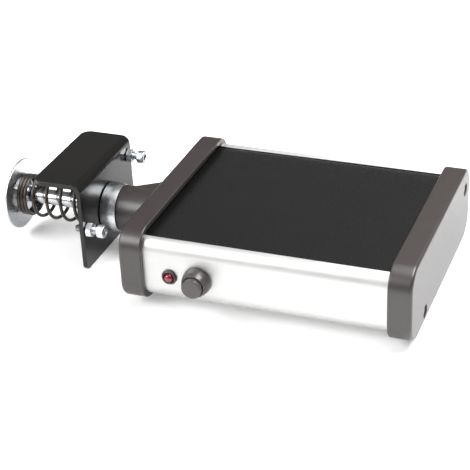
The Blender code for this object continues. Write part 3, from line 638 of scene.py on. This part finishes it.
def spindle_boss():
    """Moulded nose with a broad fillet into its wings."""
    right = -HALF_LENGTH - GAP
    bore = BUSH_RADIUS + GAP
    ease = 0.6
    profile = [(BOSS_LEFT, bore)]
    for k in range(5):
        a = pi / 2 * k / 4
        profile.append((BOSS_LEFT + ease * (1 - cos(a)), BOSS_RADIUS - ease * (1 - sin(a))))
    steps = 24
    for k in range(1, steps + 1):
        x = BOSS_LEFT + ease + (right - BOSS_LEFT - ease) * k / steps
        profile.append((x, boss_reach(x)))
    profile.append((right, bore))
    on_axis("nose_boss", profile, "grey_plastic", "housing", ["spindle_boss"], 180)


def lock_ring():
    """Plated ring nut with eased rims."""
    right = BOSS_LEFT - GAP
    bore = BUSH_RADIUS + GAP
    crown_left = right - RING_CROWN
    left_rim = [(RING_LEFT, bore, 0.3), (RING_LEFT, RING_RADIUS, 0.5), (crown_left, RING_RADIUS, 0)]
    profile = outline(left_rim, 4)
    steps = 8
    for k in range(1, steps + 1):
        t = k / steps
        profile.append((crown_left + RING_CROWN * t, RING_RADIUS - RING_DROP * t * t))
    profile += [(right + 0.1, RING_RADIUS - RING_DROP - 0.25), (right + 0.1, bore)]
    on_axis("clamp_ring", profile, "zinc_plate", "lock_ring", ["lock_ring"], 128)


def guide_bush():
    """Flanged bush that carries the rod through plate, ring and boss."""
    flange_right = PLATE_LEFT - GAP
    flange_left = flange_right - BUSH_FLANGE_THICK
    bore = ROD_RADIUS + GAP
    profile = outline([
        (flange_left, bore, 0.3), (flange_left, BUSH_FLANGE_RADIUS, 0.4),
        (flange_right, BUSH_FLANGE_RADIUS, 0.2), (flange_right, BUSH_RADIUS, 0),
        (BUSH_RIGHT, BUSH_RADIUS, 0.4), (BUSH_RIGHT, bore, 0.3),
    ], 4)
    on_axis("sleeve_bush", profile, "bronze", "housing", ["guide_bush"])


def plunger():
    """Rod, disc and the disc's socket screw."""
    left = DISC_RIGHT + GAP
    groove = -HALF_LENGTH + BEZEL_WALL
    profile = outline([
        (left + 9, 0, 0), (left + 9, 2.2, 0), (left, 2.2, 0), (left, ROD_RADIUS, 0.3),
        (groove, ROD_RADIUS, 0.1), (groove, ROD_RADIUS - 0.7, 0), (groove + 1.4, ROD_RADIUS - 0.7, 0),
        (groove + 1.4, ROD_RADIUS, 0.1), (ROD_RIGHT, ROD_RADIUS, 0.8), (ROD_RIGHT, 0, 0),
    ], 4)
    on_axis("push_rod", profile, "bright_steel", "plunger", ["plunger_rod"])
    disc_left = DISC_RIGHT - DISC_THICK
    profile = outline([(disc_left, 2.2, 0.1), (disc_left, DISC_RADIUS, 0.45), (DISC_RIGHT, DISC_RADIUS, 0.45),
                       (DISC_RIGHT, 2.2, 0.1)], 4)
    on_axis("push_disc", profile, "zinc_plate", "plunger", ["plunger_disc"], 160)
    seat = disc_left - GAP
    head = seat - 2.2
    socket = hexagon_reach(2.5)
    profile = [(head + 1.5, 0), (head + 1.3, socket), (head, socket), (head, 2.6)]
    for k in range(1, 6):
        a = pi / 2 * k / 5
        profile.append((head + 0.9 * (1 - cos(a)), 2.6 + 1.2 * sin(a)))
    profile += [(seat, 3.8), (seat, 1.9), (DISC_RIGHT + 8, 1.9), (DISC_RIGHT + 8, 0)]
    on_axis("push_disc_screw", profile, "zinc_plate", "plunger", ["disc_screw"])


def return_spring():
    """Wound wire, closed at the disc and open towards the plate."""
    left = DISC_RIGHT + GAP + SPRING_WIRE / 2
    right = PLATE_LEFT - GAP - SPRING_WIRE / 2
    closed_turns, open_turns = SPRING_CLOSED_TURNS, SPRING_OPEN_TURNS
    end_turns = SPRING_END_TURNS
    pitch = SPRING_WIRE + SPRING_SPACE
    open_length = right - left - pitch * (closed_turns + end_turns)
    turns = closed_turns + open_turns + end_turns
    count = int(turns * 64)
    stations = []
    for k in range(count + 1):
        turn = turns * k / count
        opened = min(max(turn - closed_turns, 0), open_turns)
        x = left + pitch * (turn - opened) + open_length * opened / open_turns
        stations.append((x, SPRING_RADIUS + SPRING_FLARE * turn / turns, 2 * pi * turn))
    item = new_object("coil_spring", coil(stations, SPRING_WIRE, 20), (0, 0, AXIS_Z))
    finish_piece(item, "spring_steel", None, ["return_spring"], 50)
    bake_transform(item)


# ---------------------------------------------------------------- bracket

def bracket():
    """Bent steel angle with rolled edges, a hole for the bush and two for the screws."""
    inner_bend = BEND_RADIUS - PLATE_THICK
    section = outline([
        (FLANGE_LEFT, BRACKET_TOP - PLATE_THICK, 0),
        (PLATE_LEFT, BRACKET_TOP - PLATE_THICK, inner_bend),
        (PLATE_LEFT, BRACKET_BOTTOM, 0),
        (PLATE_RIGHT, BRACKET_BOTTOM, 0),
        (PLATE_RIGHT, BRACKET_TOP, BEND_RADIUS),
        (FLANGE_LEFT, BRACKET_TOP, 0),
    ], 10)
    half = BRACKET_HALF
    right = PLATE_RIGHT + MARGIN
    item = new_object("clamp_bracket", prism(section, -half, half, "Y"))
    plan = outline([
        (FLANGE_LEFT, -half, FLANGE_CORNER), (right, -half, 0),
        (right, half, 0), (FLANGE_LEFT, half, FLANGE_CORNER),
    ], 12)
    combine(item, "INTERSECT", prism(plan, -CLEAR, CLEAR, "Z"))
    face = outline([
        (-half, BRACKET_BOTTOM, PLATE_CORNER), (half, BRACKET_BOTTOM, PLATE_CORNER),
        (half, CLEAR, 0), (-half, CLEAR, 0),
    ], 10)
    combine(item, "INTERSECT", prism(face, FLANGE_LEFT - MARGIN, right, "X"))
    holes = [(0, AXIS_Z, BUSH_RADIUS + GAP), *((y, z, M4_RADIUS + GAP) for y, z in ADJUSTERS.values())]
    low, high = PLATE_LEFT - 1, PLATE_RIGHT + 1
    for y, z, radius in holes:
        combine(item, "DIFFERENCE", turned([(low, 0), (low, radius), (high, radius), (high, 0)], segments=64),
                (0, y, z))
    soften(item, 0.35)
    finish_piece(item, "black_paint", "bracket", ["mounting_bracket"])


def nut(name, y, z):
    """Hexagon lock nut with turned crowns and a chamfered bore."""
    left = PLATE_RIGHT + GAP
    right = left + M4_NUT_LENGTH
    side = hexagon_reach(M4_NUT_FLATS)
    bore = M4_RADIUS + GAP

    def crowned(depth):
        limit = M4_NUT_FLATS / 2 * 0.95 + depth * 1.73
        return lambda a: min(side(a), limit)
    profile = [(left, bore + 0.4)]
    depths = [0, 0.06, 0.14, 0.24, 0.34, 0.44, 0.6]
    profile += [(left + d, crowned(d)) for d in depths]
    profile += [(right - d, crowned(d)) for d in reversed(depths)]
    profile += [(right, bore + 0.4), (right - 0.4, bore), (left + 0.4, bore)]
    item = new_object("hex_lock_nut_" + name, turned(profile, segments=144), (0, y, z))
    finish_piece(item, "zinc_plate", "bracket", ["lock_nut_" + name], 20)


def threaded(x0, x1, radius, pitch, depth):
    """Stations of a screw thread along X."""
    per_turn = 10
    count = int((x1 - x0) / pitch * per_turn)

    def station(x):
        def reach(a):
            phase = (x / pitch - a / (2 * pi)) % 1.0
            return radius - depth * abs(2 * phase - 1)
        return reach
    return [(x0 + (x1 - x0) * k / count, station(x0 + (x1 - x0) * k / count)) for k in range(count + 1)]


def adjusting_screw(name, y, z):
    """Socket-head screw with a cut thread and a knurled head."""
    neck = PLATE_RIGHT + GAP + M4_NUT_LENGTH + ADJUSTER_NECK
    head = neck + M4_HEAD_LENGTH
    tip = PLATE_LEFT - ADJUSTER_TIP
    socket = hexagon_reach(M4_SOCKET_FLATS)
    rim = M4_HEAD_RADIUS - 0.1
    ease = 0.45

    def knurl(depth):
        return lambda a: M4_HEAD_RADIUS - depth * (0.5 + 0.5 * cos(30 * a))
    profile = [(tip, 0), (tip, M4_RADIUS - 0.6), *threaded(tip + 0.6, neck - 0.4, M4_RADIUS, M4_PITCH, 0.36)]
    profile += [(neck, M4_RADIUS - 0.1), (neck, rim - 0.3), (neck + 0.25, rim), (neck + 0.5, knurl(0.15)),
                (head - 1.1, knurl(0.15)), (head - 0.9, rim), (head - ease, rim)]
    for k in range(1, 6):
        a = pi / 2 * k / 5
        profile.append((head - ease * (1 - sin(a)), rim - ease * (1 - cos(a))))
    profile += [(head, lambda a: socket(a) + 0.15), (head - 0.15, socket), (head - M4_SOCKET_DEPTH, socket),
                (head - M4_SOCKET_DEPTH - 0.4, 0)]
    item = new_object("socket_screw_" + name, turned(profile, segments=216), (0, y, z))
    finish_piece(item, "zinc_plate", "adjusting_screw_" + name, ["adjusting_screw_" + name], 30)


# ---------------------------------------------------------------- front panel

def across(name, profile, slot, x, z, body, stands_for, segments=96):
    """Turned piece of the front panel, along Y."""
    item = new_object(name, turned(profile, "Y", segments), (x, 0, z))
    return finish_piece(item, slot, body, stands_for)


def lamp():
    """Red dome in its round holder."""
    front = -SECTION_Y - GAP
    bore = LAMP_RADIUS + GAP
    back = front + 6.5
    holder = outline([
        (front - 0.9, bore, 0.1), (front - 1.4, bore + 0.45, 0.25), (front - 1.2, 3.45, 0.3),
        (front - 0.5, LAMP_HOLDER_RADIUS, 0.3), (front, LAMP_HOLDER_RADIUS, 0),
        (front, LAMP_NECK_RADIUS, 0), (back, LAMP_NECK_RADIUS, 0), (back, bore, 0),
    ], 4)
    across("lamp_rim", holder, "switch_plastic", LAMP_X, LAMP_Z, "housing", ["lamp_holder"])
    base = front - 0.2
    angles = [pi / 2 * k / 14 for k in range(1, 15)]
    dome = [(base - LAMP_RADIUS * cos(a), LAMP_RADIUS * sin(a)) for a in angles]
    profile = [(base - LAMP_RADIUS, 0), *dome, (front + 8, LAMP_RADIUS), (front + 8, 0)]
    across("lamp_dome", profile, "red_lens", LAMP_X, LAMP_Z, "housing", ["lamp_lens"])


def push_button():
    """Domed bushing and the round cap in it."""
    front = -SECTION_Y - GAP
    rim = -SECTION_Y - BUTTON_RIM_REACH
    bore = BUTTON_CAP_RADIUS + GAP
    stem_bore = STEM_RADIUS + GAP
    seat, back = front + 1.2, front + 10
    bushing = outline([
        (rim, bore, 0.15), (rim, BUTTON_NECK_RADIUS, 0.35), (rim + 2.2, 6.85, 2.0), (rim + 4.6, 7.35, 1.5),
        (front, BUTTON_BASE_RADIUS, 0.3), (front, BUTTON_NECK_RADIUS, 0), (back, BUTTON_NECK_RADIUS, 0.3),
        (back, stem_bore, 0), (seat, stem_bore, 0), (seat, bore, 0),
    ], 5)
    across("button_bushing", bushing, "switch_plastic", BUTTON_X, BUTTON_Z, "housing",
           ["switch_bushing"], 128)
    face = -SECTION_Y - BUTTON_CAP_REACH
    stem_end = front + 13.0
    cap = outline([
        (face, 0, 0), (face, BUTTON_CAP_RADIUS, 0.7), (face + 4.6, BUTTON_CAP_RADIUS, 0.2),
        (face + 4.6, STEM_RADIUS, 0), (stem_end, STEM_RADIUS, 0.2), (stem_end, 0, 0),
    ], 6)
    across("button_top", cap, "switch_plastic", BUTTON_X, BUTTON_Z, "button", ["button_cap"], 128)


def button_spring():
    """Fine spring behind the cap."""
    wire, radius, turns = 0.5, 3.3, 4
    low, high = ((corner.y - CENTRE.y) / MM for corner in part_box("button_spring"))
    count = turns * 40
    span = high - low - wire
    stations = []
    for k in range(count + 1):
        stations.append((low + wire / 2 + span * k / count, radius, 2 * pi * turns * k / count))
    bm = coil(stations, wire, 10)
    bmesh.ops.rotate(bm, verts=bm.verts, matrix=Matrix.Rotation(pi / 2, 3, "Z"))
    item = new_object("cap_spring", bm, (BUTTON_X, 0, BUTTON_Z))
    finish_piece(item, "bright_steel", None, ["button_spring"], 50)
    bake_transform(item)


# ---------------------------------------------------------------- studio

CAMERA_AZIMUTH = 21.87
CAMERA_ELEVATION = 29.45
CAMERA_ROLL = -2.74
CAMERA_DISTANCE = 739.2
CAMERA_LENS = 110.19
CAMERA_AIM = (-33.46, -2.45)


def camera():
    """Camera at the photograph's angle; the aim is offset across the view, in millimetres."""
    a, e, roll = radians(CAMERA_AZIMUTH), radians(CAMERA_ELEVATION), radians(CAMERA_ROLL)
    ahead = Vector((-sin(a) * cos(e), cos(a) * cos(e), -sin(e)))
    level = ahead.cross(Vector((0, 0, 1))).normalized()
    upright = level.cross(ahead)
    right = level * cos(roll) + upright * sin(roll)
    up = upright * cos(roll) - level * sin(roll)
    spot = CENTRE + (right * CAMERA_AIM[0] + up * CAMERA_AIM[1] - ahead * CAMERA_DISTANCE) * MM
    data = bpy.data.cameras.new("camera")
    data.lens = CAMERA_LENS
    data.sensor_width = 36.0
    data.clip_start = 0.01
    data.dof.use_dof = False
    item = bpy.data.objects.new("camera", data)
    bpy.context.collection.objects.link(item)
    item.matrix_world = Matrix.Translation(spot) @ Matrix((right, up, -ahead)).transposed().to_4x4()
    bpy.context.scene.camera = item


def softbox(name, spot, size, power, aim=(0, 0, 0.02)):
    """Square area lamp that faces a point, in metres."""
    data = bpy.data.lights.new(name, "AREA")
    data.shape = "RECTANGLE"
    data.size, data.size_y = size
    data.energy = power
    item = bpy.data.objects.new(name, data)
    bpy.context.collection.objects.link(item)
    item.location = spot
    item.rotation_euler = (Vector(spot) - Vector(aim)).to_track_quat("Z", "Y").to_euler()
    return item


def studio():
    """Pale floor, dim room and soft lamps."""
    bm = bmesh.new()
    bmesh.ops.create_grid(bm, x_segments=1, y_segments=1, size=4.0)
    mesh = bpy.data.meshes.new("floor")
    bm.to_mesh(mesh)
    bm.free()
    ground = bpy.data.objects.new("floor", mesh)
    bpy.context.collection.objects.link(ground)
    ground.location = (0, 0, -0.0002)
    paper = surface("floor_paper", (0.90, 0.90, 0.90), 0.9, tint=0.01, blotch=5, grain=400,
                    relief=0.02, depth=0.1, specular=0.0)
    shader = paper.node_tree.nodes["Principled BSDF"]
    shader.inputs["Emission Color"].default_value = (1.0, 1.0, 1.0, 1.0)
    shader.inputs["Emission Strength"].default_value = 0.22
    mesh.materials.append(paper)
    world = bpy.data.worlds.new("room")
    world.use_nodes = True
    world.node_tree.nodes["Background"].inputs["Color"].default_value = (1.0, 1.0, 1.0, 1.0)
    world.node_tree.nodes["Background"].inputs["Strength"].default_value = 0.22
    bpy.context.scene.world = world
    bpy.context.scene.view_settings.view_transform = "Standard"
    softbox("key_left", (-0.9, -0.9, 0.9), (1.0, 0.7), 27)
    softbox("overhead", (0.1, -0.1, 1.5), (1.2, 1.2), 4)
    softbox("floor_right", (0.27, 0.10, 0.5), (0.35, 0.45), 7, aim=(0.27, 0.10, 0))


def main():
    dress_hidden_nodes()
    extrusion()
    panel()
    bezel("left_cap", -1)
    bezel("right_cap", 1)
    for side_name, side in (("left", -1), ("right", 1)):
        for place_name, (y, z) in END_SCREWS.items():
            end_screw(side_name, side, place_name, y, z)
    spindle_boss()
    lock_ring()
    guide_bush()
    plunger()
    return_spring()
    bracket()
    for name, (y, z) in ADJUSTERS.items():
        nut(name, y, z)
        adjusting_screw(name, y, z)
    lamp()
    push_button()
    button_spring()
    camera()
    studio()


main()
